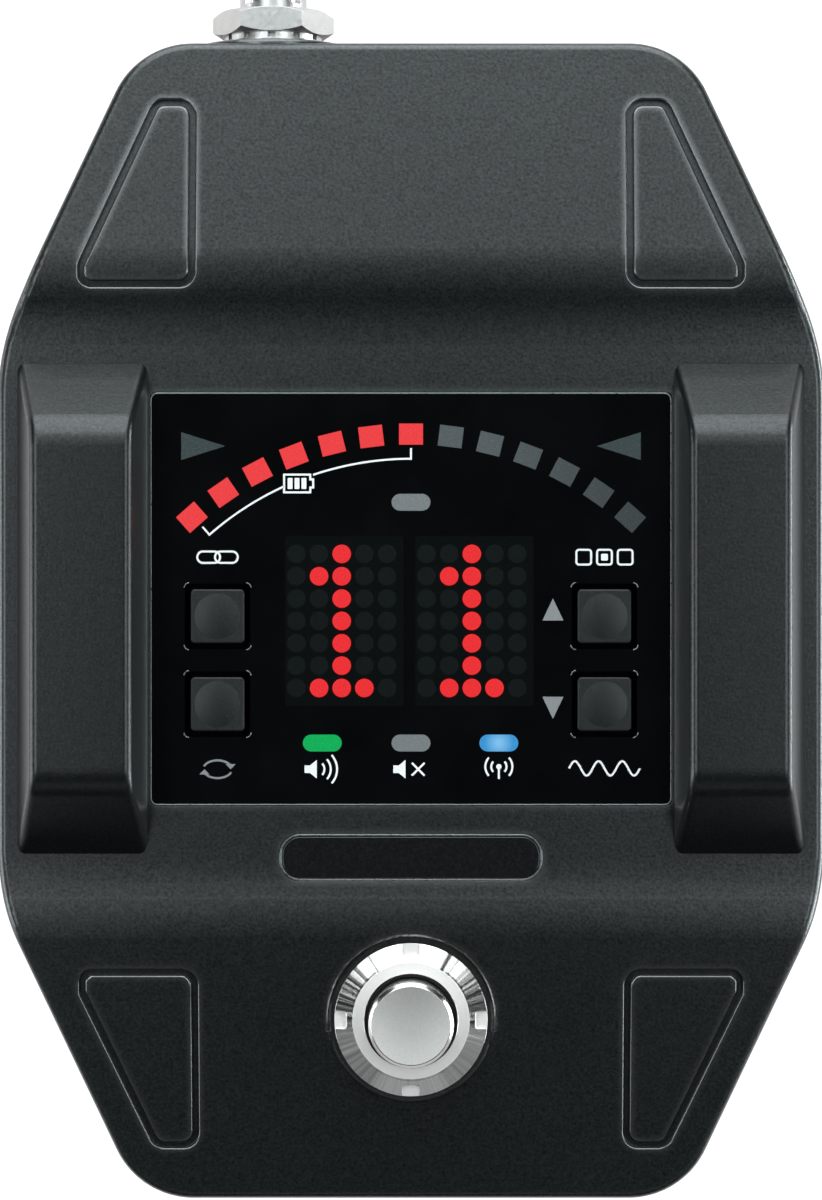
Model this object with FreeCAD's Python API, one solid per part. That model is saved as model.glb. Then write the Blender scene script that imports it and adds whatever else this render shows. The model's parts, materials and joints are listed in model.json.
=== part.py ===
import FreeCAD, Part
import math
import os

# Floor receiver of a wireless guitar system, in millimetres.
# +Z is up, +Y points to the rear wall with the sockets, +X is to the right of a player behind -Y.
# The origin is the centre of the rubber base pad, on the floor.

os.makedirs("parts", exist_ok=True)
V = FreeCAD.Vector
UP = V(0, 0, 1)
REARWARD = V(0, 1, 0)

# Housing outline seen from above: a long octagon with rounded corners.
HALF_WIDTH = 49.0
HALF_LENGTH = 68.8
END_HALF_WIDTH = 32.4
SIDE_CORNER_Y = 32.6
END_CORNER_R = 10.0
SIDE_CORNER_R = 28.0
SMALLEST_CORNER_R = 2.0

# Housing top seen from the side: (y, z, radius of the round at that point), rear to front.
FLOOR_Z = 31.0
DECK_PROFILE = [
    (HALF_LENGTH, 30.0, 0),
    (41.2, 33.2, 12.0),
    (35.4, FLOOR_Z, 14.0),
    (-30.2, FLOOR_Z, 20.0),
    (-35.0, 32.1, 13.0),
    (-HALF_LENGTH, 27.7, 0),
]
RIM_R = 1.0
WALL = 2.6
DECK = 3.2
ABOVE = 45.0

# Grooves that outline the four corner panels.
GROOVE_WIDTH = 0.75
GROOVE_DEPTH = 0.7
GROOVE_CORNER_R = 2.0
GROOVE_EDGE_R = 0.22

# Base plate, pad and the screws that hold the plate.
PLATE_BOTTOM = 1.0
PLATE_TOP = 3.0
PLATE_INSET = 0.3
PAD_INSET = 11.0
PAD_TOP = 1.6
BASE_BOSS_R = 3.5
BASE_SCREW_R = 1.25
BASE_SCREW_HEAD_R = 2.8
BASE_SCREW_TOP = 13.0
BASE_SCREW_PLACES = [(x * 31.3, y * 58.0) for x in (-1, 1) for y in (-1, 1)] + [(-43.0, 2.0), (43.0, 2.0)]

# Display window and what shows through it.
WINDOW_Y = 2.75
WINDOW_HALF_X = 30.85
WINDOW_HALF_Y = 24.4
WINDOW_CORNER_R = 0.8
WINDOW_THICK = 1.6
WINDOW_GAP = 0.1
GASKET_THICK = 0.3
OPENING_HALF_X = 28.6
OPENING_HALF_Y = 22.4
LENS_BOTTOM = 26.1
BAR_COUNT = 13
BARS_LIT = 7
BAR_SIZE = (2.84, 2.5)
BAR_ARC_R = 39.07
BAR_ARC_Y = -16.8
BAR_STEP_DEG = 6.93
PILL_SIZE = (4.6, 2.0)
TUNER_PILL = (0.0, 14.2)
STATUS_PILLS = {"audio_status_lens": -10.5, "mute_status_lens": 0.0, "radio_status_lens": 10.4}
STATUS_PILL_Y = -14.3
ARROW_BASE_X = 27.2
ARROW_TIP_X = 22.0
ARROW_Y = (19.2, 22.5)
MATRIX_X = (-7.9, 7.5)
MATRIX_Y = 0.15
MATRIX_SIZE = (14.0, 20.1)

# Push buttons beside the digits.
BUTTON_X = 22.9
BUTTON_Y = (0.7, -9.7)
BUTTON_CAP = 6.4
BUTTON_HOLE = 7.75
BUTTON_TOP = 31.3
BUTTON_DOME_R = 2.72
BUTTON_DOME_RISE = 0.24
BUTTON_FLANGE = 8.4
BUTTON_FLANGE_Z = (28.3, 29.1)
BUTTON_TRAVEL = 0.5

# Circuit boards.
DISPLAY_BOARD_Z = (23.9, 25.5)
DISPLAY_BOARD_HALF = (34.0, 23.5)
DISPLAY_SCREW_PLACES = [(x * 31.7, WINDOW_Y + y * 19.0) for x in (-1, 1) for y in (-1, 1)]
MAIN_BOARD_Z = (7.0, 8.6)
MAIN_BOARD_HALF_X = 36.0
MAIN_BOARD_Y = (-33.0, 50.0)
MAIN_BOARD_TONGUE = (26.0, 64.0)
MAIN_SCREW_PLACES = [(x * 32.0, y) for x in (-1, 1) for y in (-28.5, 45.5)]

# Side rails, which cover the antennas.
RAIL_BASE_X = (31.2, 46.6)
RAIL_BASE_Y = (-27.4, 30.65)
RAIL_TOP_X = (32.5, 44.3)
RAIL_TOP_Y = (-18.9, 22.8)
RAIL_TOP_Z = 39.4
RAIL_WALL = 1.8
RAIL_EDGE_R = 1.1
RAIL_BEND_R = 5.0
RAIL_PEG_Y = (-21.5, 25.0)
RAIL_PEG_R = 1.5
ANTENNA_X = 38.4
ANTENNA_SLOT_Y = (-15.0, 19.0)

# Nameplate, left blank.
NAMEPLATE_Y = -27.85
NAMEPLATE_SIZE = (30.6, 5.0)
NAMEPLATE_Z = (30.45, 31.05)

# Footswitch.
SWITCH_Y = -47.0
SEAT_Z = 30.2
SEAT_R = 9.9
SEAT_RIM_R = 0.6
SEAT_RIM_FRONT_Y = -48.5
SEAT_UNDERSIDE = 25.6
BUSHING_R = 6.0
BUSHING_BORE_R = 5.06
BUSHING_Z = (21.0, 31.5)
PLUNGER_R = 5.0
PLUNGER_TOP = 37.8
PLUNGER_DISH_R = 38.0
PLUNGER_DISH_DEPTH = 0.28
PLUNGER_FLANGE_R = 5.8
PLUNGER_FLANGE_Z = (19.5, 20.9)
DRESS_NUT_R = 9.05
DRESS_NUT_LAND_R = 6.9
DRESS_NUT_LIP_R = 5.5
DRESS_NUT_TOP = 32.7
SWITCH_HALF = 8.5
SWITCH_BODY_Z = (8.5, 21.0)
SWITCH_CAVITY_R = 6.2
SWITCH_CAVITY_Z = 10.5

# Output socket, on the rear wall.
JACK_X = -16.7
JACK_Z = 20.0
JACK_BOSS_R = 9.75
JACK_BOSS_Y = 69.4
JACK_BORE_R = 3.2
JACK_THREAD_R = 4.75
JACK_END_Y = 75.9
JACK_NUT_Y = (70.8, 73.7)
JACK_NUT_AF = 12.7
JACK_BODY_HALF = 7.0
JACK_BODY_Y = (44.0, 66.2)

# Power socket and data port, on the rear wall.
POWER_X = 4.0
POWER_Z = 14.1
POWER_BORE_R = 3.1
POWER_HOLE_R = 4.2
PORT_X = 19.0
PORT_SIZE = (7.6, 2.8)
INNER_REAR_Y = HALF_LENGTH - WALL


def box(x_range, y_range, z_range):
    """A box between two limits along each axis."""
    size = (x_range[1] - x_range[0], y_range[1] - y_range[0], z_range[1] - z_range[0])
    return Part.makeBox(*size, V(x_range[0], y_range[0], z_range[0]))


def centred_box(x, y, size_x, size_y, z_range):
    """A box centred on a point seen from above."""
    return box((x - size_x / 2, x + size_x / 2), (y - size_y / 2, y + size_y / 2), z_range)


def post(x, y, radius, z_range):
    """An upright cylinder."""
    return Part.makeCylinder(radius, z_range[1] - z_range[0], V(x, y, z_range[0]), UP)


def rod(x, z, radius, y_range):
    """A cylinder along the Y axis."""
    return Part.makeCylinder(radius, y_range[1] - y_range[0], V(x, y_range[0], z), REARWARD)


def fused(shapes):
    """One solid out of several that touch or overlap."""
    return shapes[0].multiFuse(shapes[1:]).removeSplitter()


def rounded_edges(points, radii, closed):
    """Straight runs joined by tangent arcs; a corner with radius 0 stays sharp."""
    starts = []
    ends = []
    arcs = []
    count = len(points)
    for i, corner in enumerate(points):
        if radii[i] == 0 or (not closed and i in (0, count - 1)):
            starts.append(corner)
            ends.append(corner)
            arcs.append(None)
            continue
        back = (points[i - 1] - corner).normalize()
        ahead = (points[(i + 1) % count] - corner).normalize()
        half_angle = back.getAngle(ahead) / 2
        tangent = radii[i] / math.tan(half_angle)
        inward = (back + ahead).normalize()
        centre = corner + inward * (radii[i] / math.sin(half_angle))
        starts.append(corner + back * tangent)
        ends.append(corner + ahead * tangent)
        arcs.append(Part.Arc(starts[-1], centre - inward * radii[i], ends[-1]).toShape())
    edges = []
    for i in range(count):
        if arcs[i]:
            edges.append(arcs[i])
        if i < count - 1 or closed:
            edges.append(Part.LineSegment(ends[i], starts[(i + 1) % count]).toShape())
    return edges


def prism(points, radii, z_range):
    """An upright prism on a closed outline of (x, y) points with rounded corners."""
    corners = [V(x, y, z_range[0]) for x, y in points]
    face = Part.Face(Part.Wire(rounded_edges(corners, radii, True)))
    return face.extrude(UP * (z_range[1] - z_range[0]))


def rounded_box(x, y, size_x, size_y, radius, z_range):
    """An upright box with four rounded corners, centred on a point seen from above."""
    corners = [(x + i * size_x / 2, y + j * size_y / 2) for i, j in ((-1, -1), (1, -1), (1, 1), (-1, 1))]
    return prism(corners, [radius] * 4, z_range)


def hexagon(x, z, across_flats, y_range):
    """A hexagonal prism along Y with one flat facing up."""
    corner_r = across_flats / math.sqrt(3)
    corners = []
    for k in range(7):
        angle = math.radians(60 * k)
        corners.append(V(x + corner_r * math.cos(angle), y_range[0], z + corner_r * math.sin(angle)))
    return Part.Face(Part.makePolygon(corners)).extrude(REARWARD * (y_range[1] - y_range[0]))


def revolved(x, y, outline):
    """A solid turned about an upright axis from a closed outline of (radius, z) points."""
    points = [V(x + r, y, z) for r, z in outline]
    return Part.Face(Part.makePolygon(points + points[:1])).revolve(V(x, y, 0), UP, 360)


def housing_outline(inset):
    """Corner points and radii of the housing's outline, moved inward by inset."""
    slant = V(HALF_WIDTH - END_HALF_WIDTH, SIDE_CORNER_Y - HALF_LENGTH, 0).normalize()
    normal = V(-slant.y, slant.x, 0)
    reach = normal.x * HALF_WIDTH + normal.y * SIDE_CORNER_Y - inset
    end_y = HALF_LENGTH - inset
    side_x = HALF_WIDTH - inset
    end_x = (reach - normal.y * end_y) / normal.x
    side_y = (reach - normal.x * side_x) / normal.y
    end_r = max(END_CORNER_R - inset, SMALLEST_CORNER_R)
    side_r = max(SIDE_CORNER_R - inset, SMALLEST_CORNER_R)
    quarter = [(end_x, end_y, end_r), (side_x, side_y, side_r)]
    corners = [(x, y, r) for x, y, r in quarter]
    corners += [(x, -y, r) for x, y, r in reversed(quarter)]
    corners += [(-x, -y, r) for x, y, r in quarter]
    corners += [(-x, y, r) for x, y, r in reversed(quarter)]
    return [(x, y) for x, y, r in corners], [r for x, y, r in corners]


def outline_prism(inset, z_range):
    """An upright prism on the housing's outline, moved inward by inset."""
    points, radii = housing_outline(inset)
    return prism(points, radii, z_range)


def under_deck(drop):
    """Everything below the housing's top surface, lowered by drop."""
    run_out = 20.0
    half_x = HALF_WIDTH + run_out
    rear_slope = (DECK_PROFILE[0][1] - DECK_PROFILE[1][1]) / (DECK_PROFILE[0][0] - DECK_PROFILE[1][0])
    front_slope = (DECK_PROFILE[-2][1] - DECK_PROFILE[-1][1]) / (DECK_PROFILE[-2][0] - DECK_PROFILE[-1][0])
    points = [V(-half_x, y, z - drop) for y, z, r in DECK_PROFILE]
    points[0] += V(0, run_out, run_out * rear_slope)
    points[-1] -= V(0, run_out, run_out * front_slope)
    edges = rounded_edges(points, [r for y, z, r in DECK_PROFILE], False)
    rear_foot = V(-half_x, points[0].y, -run_out)
    front_foot = V(-half_x, points[-1].y, -run_out)
    edges.append(Part.LineSegment(points[-1], front_foot).toShape())
    edges.append(Part.LineSegment(front_foot, rear_foot).toShape())
    edges.append(Part.LineSegment(rear_foot, points[0]).toShape())
    return Part.Face(Part.Wire(edges)).extrude(V(2 * half_x, 0, 0))


def panel_outlines():
    """Outer outlines of the four corner panels: each one follows the slanted side of the housing."""
    rear = [(25.5, 61.9), (25.5, 39.6), (39.3, 39.6), (39.3, 42.3), (30.4, 61.9)]
    front = [(25.25, -62.6), (25.25, -41.05), (39.3, -41.05), (39.3, -43.9), (30.5, -62.6)]
    radii = [GROOVE_CORNER_R, GROOVE_CORNER_R, 1.6, 1.4, GROOVE_CORNER_R]
    outlines = []
    for side in (-1, 1):
        for points in (rear, front):
            outlines.append(([(side * x, y) for x, y in points], radii))
    return outlines


def rim_edges(shape):
    """Edges where the top surface meets the outside wall."""
    lowest_rim = min(z for y, z, r in DECK_PROFILE) - RIM_R
    widest_rim_edge = 2 * END_HALF_WIDTH
    return [e for e in shape.Edges if e.BoundBox.Center.z > lowest_rim and e.Length < widest_rim_edge]


def with_grooves(body):
    """The body with its four grooves cut and their upper edges rounded."""
    deck = Part.makeCompound([f for f in under_deck(0).Faces if f.BoundBox.ZMin > PLATE_TOP])
    groove_floor = under_deck(GROOVE_DEPTH)
    near = 0.001
    for points, radii in panel_outlines():
        outer = prism(points, radii, (PLATE_TOP, ABOVE))
        foot = min(outer.Faces, key=lambda f: f.CenterOfMass.z)
        inner = foot.makeOffset2D(-GROOVE_WIDTH).extrude(UP * (ABOVE - PLATE_TOP))
        body = body.cut(outer.cut(inner).cut(groove_floor))
        rounded = []
        for edge in body.Edges:
            middle = edge.valueAt((edge.FirstParameter + edge.LastParameter) / 2)
            at_panel = outer.distToShape(Part.Vertex(middle))[0] < near
            if at_panel and deck.distToShape(Part.Vertex(middle))[0] < near:
                rounded.append(edge)
        body = body.makeFillet(GROOVE_EDGE_R, rounded)
    return body


def seat_rim_cutter():
    """Rounds the deck's edge behind the footswitch seat, which lies below the sloping deck there."""
    (crest_y, crest_z), (end_y, end_z) = [DECK_PROFILE[-2][:2], DECK_PROFILE[-1][:2]]
    slope = (crest_z - end_z) / (crest_y - end_y)
    deck_z = crest_z + slope * (SWITCH_Y - crest_y)
    ring_r = SEAT_R + 0.7 * SEAT_RIM_R
    disc = Part.makeCylinder(ring_r, 2 * RIM_R + SEAT_RIM_R, V(0, 0, -SEAT_RIM_R))
    cutter = disc.cut(Part.makeTorus(ring_r, SEAT_RIM_R, V(0, 0, -SEAT_RIM_R)))
    cutter.rotate(V(0, 0, 0), V(1, 0, 0), math.degrees(math.atan(slope)))
    cutter.translate(V(0, SWITCH_Y, deck_z))
    return cutter.common(box((-HALF_WIDTH, HALF_WIDTH), (SEAT_RIM_FRONT_Y, 0), (0, ABOVE)))


def hollow_shell():
    """The cast shell with its rounded rim, the socket boss and the level seat of the footswitch."""
    outer = outline_prism(0, (PLATE_TOP, ABOVE)).common(under_deck(0))
    outer = with_grooves(outer.makeFillet(RIM_R, rim_edges(outer)))
    boss = rod(JACK_X, JACK_Z, JACK_BOSS_R, (HALF_LENGTH - 2 * WALL, JACK_BOSS_Y))
    boss_face_edge = [e for e in boss.Edges if e.BoundBox.YMin > JACK_BOSS_Y - RIM_R]
    outer = outer.fuse(boss.makeFillet(RIM_R / 2, boss_face_edge))
    cavity = outline_prism(WALL, (0, ABOVE)).common(under_deck(DECK))
    shell = outer.cut(cavity)
    columns = [post(x, y, BASE_BOSS_R, (PLATE_TOP, ABOVE)).common(outer) for x, y in BASE_SCREW_PLACES]
    columns += [post(x, y, 2.2, (DISPLAY_BOARD_Z[1], FLOOR_Z - 1)) for x, y in DISPLAY_SCREW_PLACES]
    seat = post(0, SWITCH_Y, SEAT_R, (SEAT_UNDERSIDE, SEAT_Z))
    seat_top_edge = [e for e in seat.Edges if e.BoundBox.ZMin > SEAT_Z - 0.1]
    columns.append(seat.makeFillet(RIM_R / 3, seat_top_edge))
    shell = fused([shell.cut(seat_rim_cutter())] + columns)
    return shell.cut(post(0, SWITCH_Y, SEAT_R, (SEAT_Z, ABOVE)))


def top_housing():
    """The cast shell with all its openings, holes and grooves."""
    window_seat_z = FLOOR_Z - WINDOW_THICK - GASKET_THICK
    cuts = [
        rounded_box(0, WINDOW_Y, 2 * (WINDOW_HALF_X + WINDOW_GAP), 2 * (WINDOW_HALF_Y + WINDOW_GAP),
                    WINDOW_CORNER_R, (window_seat_z, ABOVE)),
        centred_box(0, WINDOW_Y, 2 * OPENING_HALF_X, 2 * OPENING_HALF_Y, (FLOOR_Z - 2 * DECK, ABOVE)),
        rounded_box(0, NAMEPLATE_Y, NAMEPLATE_SIZE[0] + 0.6, NAMEPLATE_SIZE[1] + 0.6, 2.4,
                    (NAMEPLATE_Z[0], ABOVE)),
        post(0, SWITCH_Y, BUSHING_R + 0.1, (SEAT_UNDERSIDE - 1, ABOVE)),
        rod(JACK_X, JACK_Z, JACK_THREAD_R + 0.1, (INNER_REAR_Y - 1, JACK_BOSS_Y + 1)),
        rod(POWER_X, POWER_Z, POWER_HOLE_R, (INNER_REAR_Y - 1, HALF_LENGTH + 1)),
        centred_box(PORT_X, HALF_LENGTH, PORT_SIZE[0] + 0.6, 4 * WALL,
                    (MAIN_BOARD_Z[1] - 0.3, MAIN_BOARD_Z[1] + PORT_SIZE[1] + 0.3)),
    ]
    cuts += [post(x, y, BASE_SCREW_R, (0, BASE_SCREW_TOP + 1)) for x, y in BASE_SCREW_PLACES]
    cuts += [post(x, y, 0.8, (DISPLAY_BOARD_Z[1] - 1, FLOOR_Z - 2)) for x, y in DISPLAY_SCREW_PLACES]
    for side in (-1, 1):
        cuts.append(centred_box(side * ANTENNA_X, sum(ANTENNA_SLOT_Y) / 2, 2.0,
                                ANTENNA_SLOT_Y[1] - ANTENNA_SLOT_Y[0], (20, ABOVE)))
        cuts += [post(side * ANTENNA_X, y, RAIL_PEG_R + 0.1, (20, ABOVE)) for y in RAIL_PEG_Y]
    shell = hollow_shell()
    for shape in cuts:
        shell = shell.cut(shape)
    return shell.removeSplitter()


def base_plate():
    """Flat plate that closes the housing from below, recessed for the pad."""
    plate = outline_prism(PLATE_INSET, (PLATE_BOTTOM, PLATE_TOP)).cut(rubber_base_pad())
    for x, y in BASE_SCREW_PLACES:
        plate = plate.cut(base_screw(x, y, False))
    return plate


def rubber_base_pad():
    """Pad that the object stands on."""
    return outline_prism(PAD_INSET, (0, PAD_TOP))


def base_screw(x, y, with_recess):
    """Countersunk screw from below, with a cross recess."""
    head_depth = BASE_SCREW_HEAD_R - BASE_SCREW_R
    outline = [
        (0, PLATE_BOTTOM),
        (BASE_SCREW_HEAD_R, PLATE_BOTTOM),
        (BASE_SCREW_R, PLATE_BOTTOM + head_depth),
        (BASE_SCREW_R, BASE_SCREW_TOP),
        (0, BASE_SCREW_TOP),
    ]
    screw = revolved(x, y, outline)
    if with_recess:
        recess_z = (PLATE_BOTTOM - 1, PLATE_BOTTOM + 0.9)
        screw = screw.cut(centred_box(x, y, 2.8, 0.6, recess_z))
        screw = screw.cut(centred_box(x, y, 0.6, 2.8, recess_z))
    return screw


def rail_block(inset, top_z, bend_r):
    """Solid rail: its side view, with the bends to the sloping ends, meets its tapered end view."""
    def outline(base, top):
        low = [(base[0] + inset, FLOOR_Z), (top[0] + inset, top_z)]
        high = [(top[1] - inset, top_z), (base[1] - inset, FLOOR_Z)]
        return low + high

    side_view = prism(outline(RAIL_BASE_Y, RAIL_TOP_Y), [0, bend_r, bend_r, 0], (0, 2 * HALF_WIDTH))
    side_view.rotate(V(0, 0, 0), V(1, 1, 1), 120)
    end_view = prism(outline(RAIL_BASE_X, RAIL_TOP_X), [0, 0, 0, 0], (-HALF_LENGTH, HALF_LENGTH))
    end_view.rotate(V(0, 0, 0), V(1, 0, 0), 90)
    return side_view.common(end_view)


def antenna_cover(side):
    """Hollow side rail with sloping ends, two pegs and posts that hold the antenna board."""
    rail = rail_block(0, RAIL_TOP_Z, RAIL_BEND_R)
    side_faces = [f for f in rail.Faces if abs(f.normalAt(0, 0).x) > 0.9]
    long_edges = [e for f in side_faces for e in f.Edges if e.BoundBox.ZMax > FLOOR_Z + 1]
    rail = rail.makeFillet(RAIL_EDGE_R, long_edges)
    rail = rail.cut(rail_block(RAIL_WALL, RAIL_TOP_Z - RAIL_WALL, 0))
    additions = [rail]
    for y in RAIL_PEG_Y:
        additions.append(post(ANTENNA_X, y, RAIL_PEG_R, (FLOOR_Z - DECK, RAIL_TOP_Z - 5)).cut(
            box((30, 50), (RAIL_BASE_Y[0] - 5, RAIL_BASE_Y[0]), (20, ABOVE))))
    for y in ANTENNA_SLOT_Y:
        additions.append(centred_box(ANTENNA_X, y, 3.0, 1.6, (FLOOR_Z, RAIL_TOP_Z - 1)))
    rail = fused(additions)
    return mirrored(rail, side)


def antenna_board(side):
    """Upright circuit board inside a side rail, with one foot through the deck."""
    board = box((ANTENNA_X - 0.5, ANTENNA_X + 0.5), (ANTENNA_SLOT_Y[0] + 0.8, ANTENNA_SLOT_Y[1] - 0.8),
                (FLOOR_Z, RAIL_TOP_Z - RAIL_WALL))
    foot = box((ANTENNA_X - 0.5, ANTENNA_X + 0.5), (ANTENNA_SLOT_Y[0] + 6, ANTENNA_SLOT_Y[1] - 6),
               (DISPLAY_BOARD_Z[1], FLOOR_Z))
    return mirrored(board.fuse(foot).removeSplitter(), side)


def mirrored(shape, side):
    """The shape itself on the right side, or its mirror image on the left."""
    return shape if side > 0 else shape.mirror(V(0, 0, 0), V(1, 0, 0))


def pill(x, y):
    """Lens with round ends."""
    half_run = (PILL_SIZE[0] - PILL_SIZE[1]) / 2
    radius = PILL_SIZE[1] / 2
    z_range = (LENS_BOTTOM, FLOOR_Z)
    middle = centred_box(x, y, 2 * half_run, PILL_SIZE[1], z_range)
    ends = [post(x + end * half_run, y, radius, z_range) for end in (-1, 1)]
    return fused([middle] + ends)


def bar_lenses(first, last):
    """Square lenses along the meter's arc, each one turned to follow it."""
    bars = []
    for i in range(first, last):
        angle = (i - (BAR_COUNT - 1) / 2) * BAR_STEP_DEG
        bar = centred_box(0, BAR_ARC_Y + BAR_ARC_R, BAR_SIZE[0], BAR_SIZE[1], (LENS_BOTTOM, FLOOR_Z))
        bar.rotate(V(0, BAR_ARC_Y, 0), UP, -angle)
        bars.append(bar)
    return Part.makeCompound(bars)


def arrow_lenses():
    """Two triangles that point to the middle of the meter."""
    arrows = []
    for side in (-1, 1):
        points = [(side * ARROW_BASE_X, ARROW_Y[0]), (side * ARROW_BASE_X, ARROW_Y[1]),
                  (side * ARROW_TIP_X, sum(ARROW_Y) / 2)]
        arrows.append(prism(points, [0] * 3, (LENS_BOTTOM, FLOOR_Z)))
    return Part.makeCompound(arrows)


def display_lenses():
    """All lenses that reach through the window, by node name."""
    lenses = {
        "lit_bar_lenses": bar_lenses(0, BARS_LIT),
        "unlit_bar_lenses": bar_lenses(BARS_LIT, BAR_COUNT),
        "tuning_arrow_lenses": arrow_lenses(),
        "tuner_centre_lens": pill(*TUNER_PILL),
    }
    for name, x in STATUS_PILLS.items():
        lenses[name] = pill(x, STATUS_PILL_Y)
    return lenses


def button_places():
    """Centre of each button, by node name."""
    return {
        "link_button": (-BUTTON_X, BUTTON_Y[0]),
        "mode_button": (-BUTTON_X, BUTTON_Y[1]),
        "group_button": (BUTTON_X, BUTTON_Y[0]),
        "channel_button": (BUTTON_X, BUTTON_Y[1]),
    }


def display_window(lenses):
    """Flat window, cut out for the buttons and the lenses."""
    window = rounded_box(0, WINDOW_Y, 2 * WINDOW_HALF_X, 2 * WINDOW_HALF_Y, WINDOW_CORNER_R,
                         (FLOOR_Z - WINDOW_THICK, FLOOR_Z))
    for x, y in button_places().values():
        window = window.cut(rounded_box(x, y, BUTTON_HOLE, BUTTON_HOLE, WINDOW_CORNER_R, (20, ABOVE)))
    for lens in lenses.values():
        window = window.cut(lens)
    return window


def window_gasket():
    """Thin frame between the window and its ledge."""
    z_range = (FLOOR_Z - WINDOW_THICK - GASKET_THICK, FLOOR_Z - WINDOW_THICK)
    outer = centred_box(0, WINDOW_Y, 2 * WINDOW_HALF_X - 0.4, 2 * WINDOW_HALF_Y - 0.4, z_range)
    return outer.cut(centred_box(0, WINDOW_Y, 2 * OPENING_HALF_X, 2 * OPENING_HALF_Y, z_range))


def button(x, y):
    """Push button: domed square cap, retaining flange and a foot over the switch."""
    flange_low, flange_high = BUTTON_FLANGE_Z
    cap = rounded_box(x, y, BUTTON_CAP, BUTTON_CAP, 0.5, (flange_low, BUTTON_TOP))
    top_edges = [e for e in cap.Edges if e.BoundBox.ZMin > BUTTON_TOP - 0.01]
    cap = cap.makeFillet(0.2, top_edges)
    sphere_r = (BUTTON_DOME_R ** 2 + BUTTON_DOME_RISE ** 2) / (2 * BUTTON_DOME_RISE)
    dome = Part.makeSphere(sphere_r, V(x, y, BUTTON_TOP + BUTTON_DOME_RISE - sphere_r))
    dome = dome.common(post(x, y, BUTTON_DOME_R + 0.1, (BUTTON_TOP - 1, BUTTON_TOP + 1)))
    flange = centred_box(x, y, BUTTON_FLANGE, BUTTON_FLANGE, (flange_low, flange_high))
    return fused([cap, dome, flange])


def tact_switches():
    """Four small switches on the display board, one under each button."""
    board_top = DISPLAY_BOARD_Z[1]
    stem_top = BUTTON_FLANGE_Z[0] - BUTTON_TRAVEL - 0.05
    switches = []
    for x, y in button_places().values():
        body = centred_box(x, y, 6.0, 6.0, (board_top, stem_top - 0.6))
        switches.append(body.fuse(post(x, y, 1.6, (stem_top - 0.6, stem_top))))
    return Part.makeCompound(switches)


def digit_matrix(x):
    """Dot display module that stands on the display board under the window."""
    return centred_box(x, MATRIX_Y, MATRIX_SIZE[0], MATRIX_SIZE[1],
                       (DISPLAY_BOARD_Z[1], FLOOR_Z - WINDOW_THICK))


def indicator_leds(lenses):
    """Small lamps on the display board, one under each lens."""
    lamps = []
    for lens in lenses.values():
        for solid in lens.Solids:
            centre = solid.CenterOfMass
            lamps.append(centred_box(centre.x, centre.y, 1.4, 1.4, (DISPLAY_BOARD_Z[1], LENS_BOTTOM)))
    return Part.makeCompound(lamps)


def display_board():
    """Circuit board under the window, with four screw holes."""
    board = centred_box(0, WINDOW_Y, 2 * DISPLAY_BOARD_HALF[0], 2 * DISPLAY_BOARD_HALF[1], DISPLAY_BOARD_Z)
    for x, y in DISPLAY_SCREW_PLACES:
        board = board.cut(post(x, y, 1.1, DISPLAY_BOARD_Z))
    return board


def pan_screw(x, y, head_z, shank_r, shank_end):
    """Round-headed screw; the head lies beyond head_z, away from the shank's end."""
    head_height = 1.2 if shank_end < head_z else -1.2
    head = post(x, y, 2 * shank_r, sorted((head_z, head_z + head_height)))
    return head.fuse(post(x, y, shank_r, sorted((head_z, shank_end))))


def main_board():
    """Main circuit board, with a tongue that carries the rear sockets."""
    tongue_half, tongue_end = MAIN_BOARD_TONGUE
    board = box((-MAIN_BOARD_HALF_X, MAIN_BOARD_HALF_X), MAIN_BOARD_Y, MAIN_BOARD_Z)
    tongue = box((-tongue_half, tongue_half), (MAIN_BOARD_Y[1], tongue_end), MAIN_BOARD_Z)
    board = board.fuse(tongue).removeSplitter()
    for x, y in MAIN_SCREW_PLACES:
        board = board.cut(post(x, y, 1.3, MAIN_BOARD_Z))
    return board


def radio_shield():
    """Metal can over the radio circuit."""
    can = centred_box(-18, 12, 26, 20, (MAIN_BOARD_Z[1], MAIN_BOARD_Z[1] + 3.4))
    return can.cut(centred_box(-18, 12, 25.4, 19.4, (MAIN_BOARD_Z[1], MAIN_BOARD_Z[1] + 3.1)))


def footswitch_bushing():
    """Threaded sleeve of the footswitch, with a running fit for the plunger."""
    outer = post(0, SWITCH_Y, BUSHING_R, BUSHING_Z)
    return outer.cut(post(0, SWITCH_Y, BUSHING_BORE_R, BUSHING_Z))


def footswitch_dress_nut():
    """Polished round nut with a flat land on top and four spanner notches."""
    side_top = SEAT_Z + 1.55
    lip_z = BUSHING_Z[1] + 0.05
    outline = [
        (BUSHING_R + 0.05, SEAT_Z),
        (DRESS_NUT_R - 0.2, SEAT_Z),
        (DRESS_NUT_R, SEAT_Z + 0.2),
        (DRESS_NUT_R, side_top),
        (DRESS_NUT_LAND_R + 0.25, DRESS_NUT_TOP - 0.12),
        (DRESS_NUT_LAND_R, DRESS_NUT_TOP),
        (DRESS_NUT_LIP_R + 0.1, DRESS_NUT_TOP),
        (DRESS_NUT_LIP_R, DRESS_NUT_TOP - 0.1),
        (DRESS_NUT_LIP_R, lip_z),
        (BUSHING_R + 0.05, lip_z),
    ]
    nut = revolved(0, SWITCH_Y, outline)
    for k in range(4):
        notch = rounded_box(0, SWITCH_Y + DRESS_NUT_R, 2.1, 2.9, 0.4, (side_top - 0.2, ABOVE))
        notch.rotate(V(0, SWITCH_Y, 0), UP, 90 * k)
        nut = nut.cut(notch)
    return nut


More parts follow.
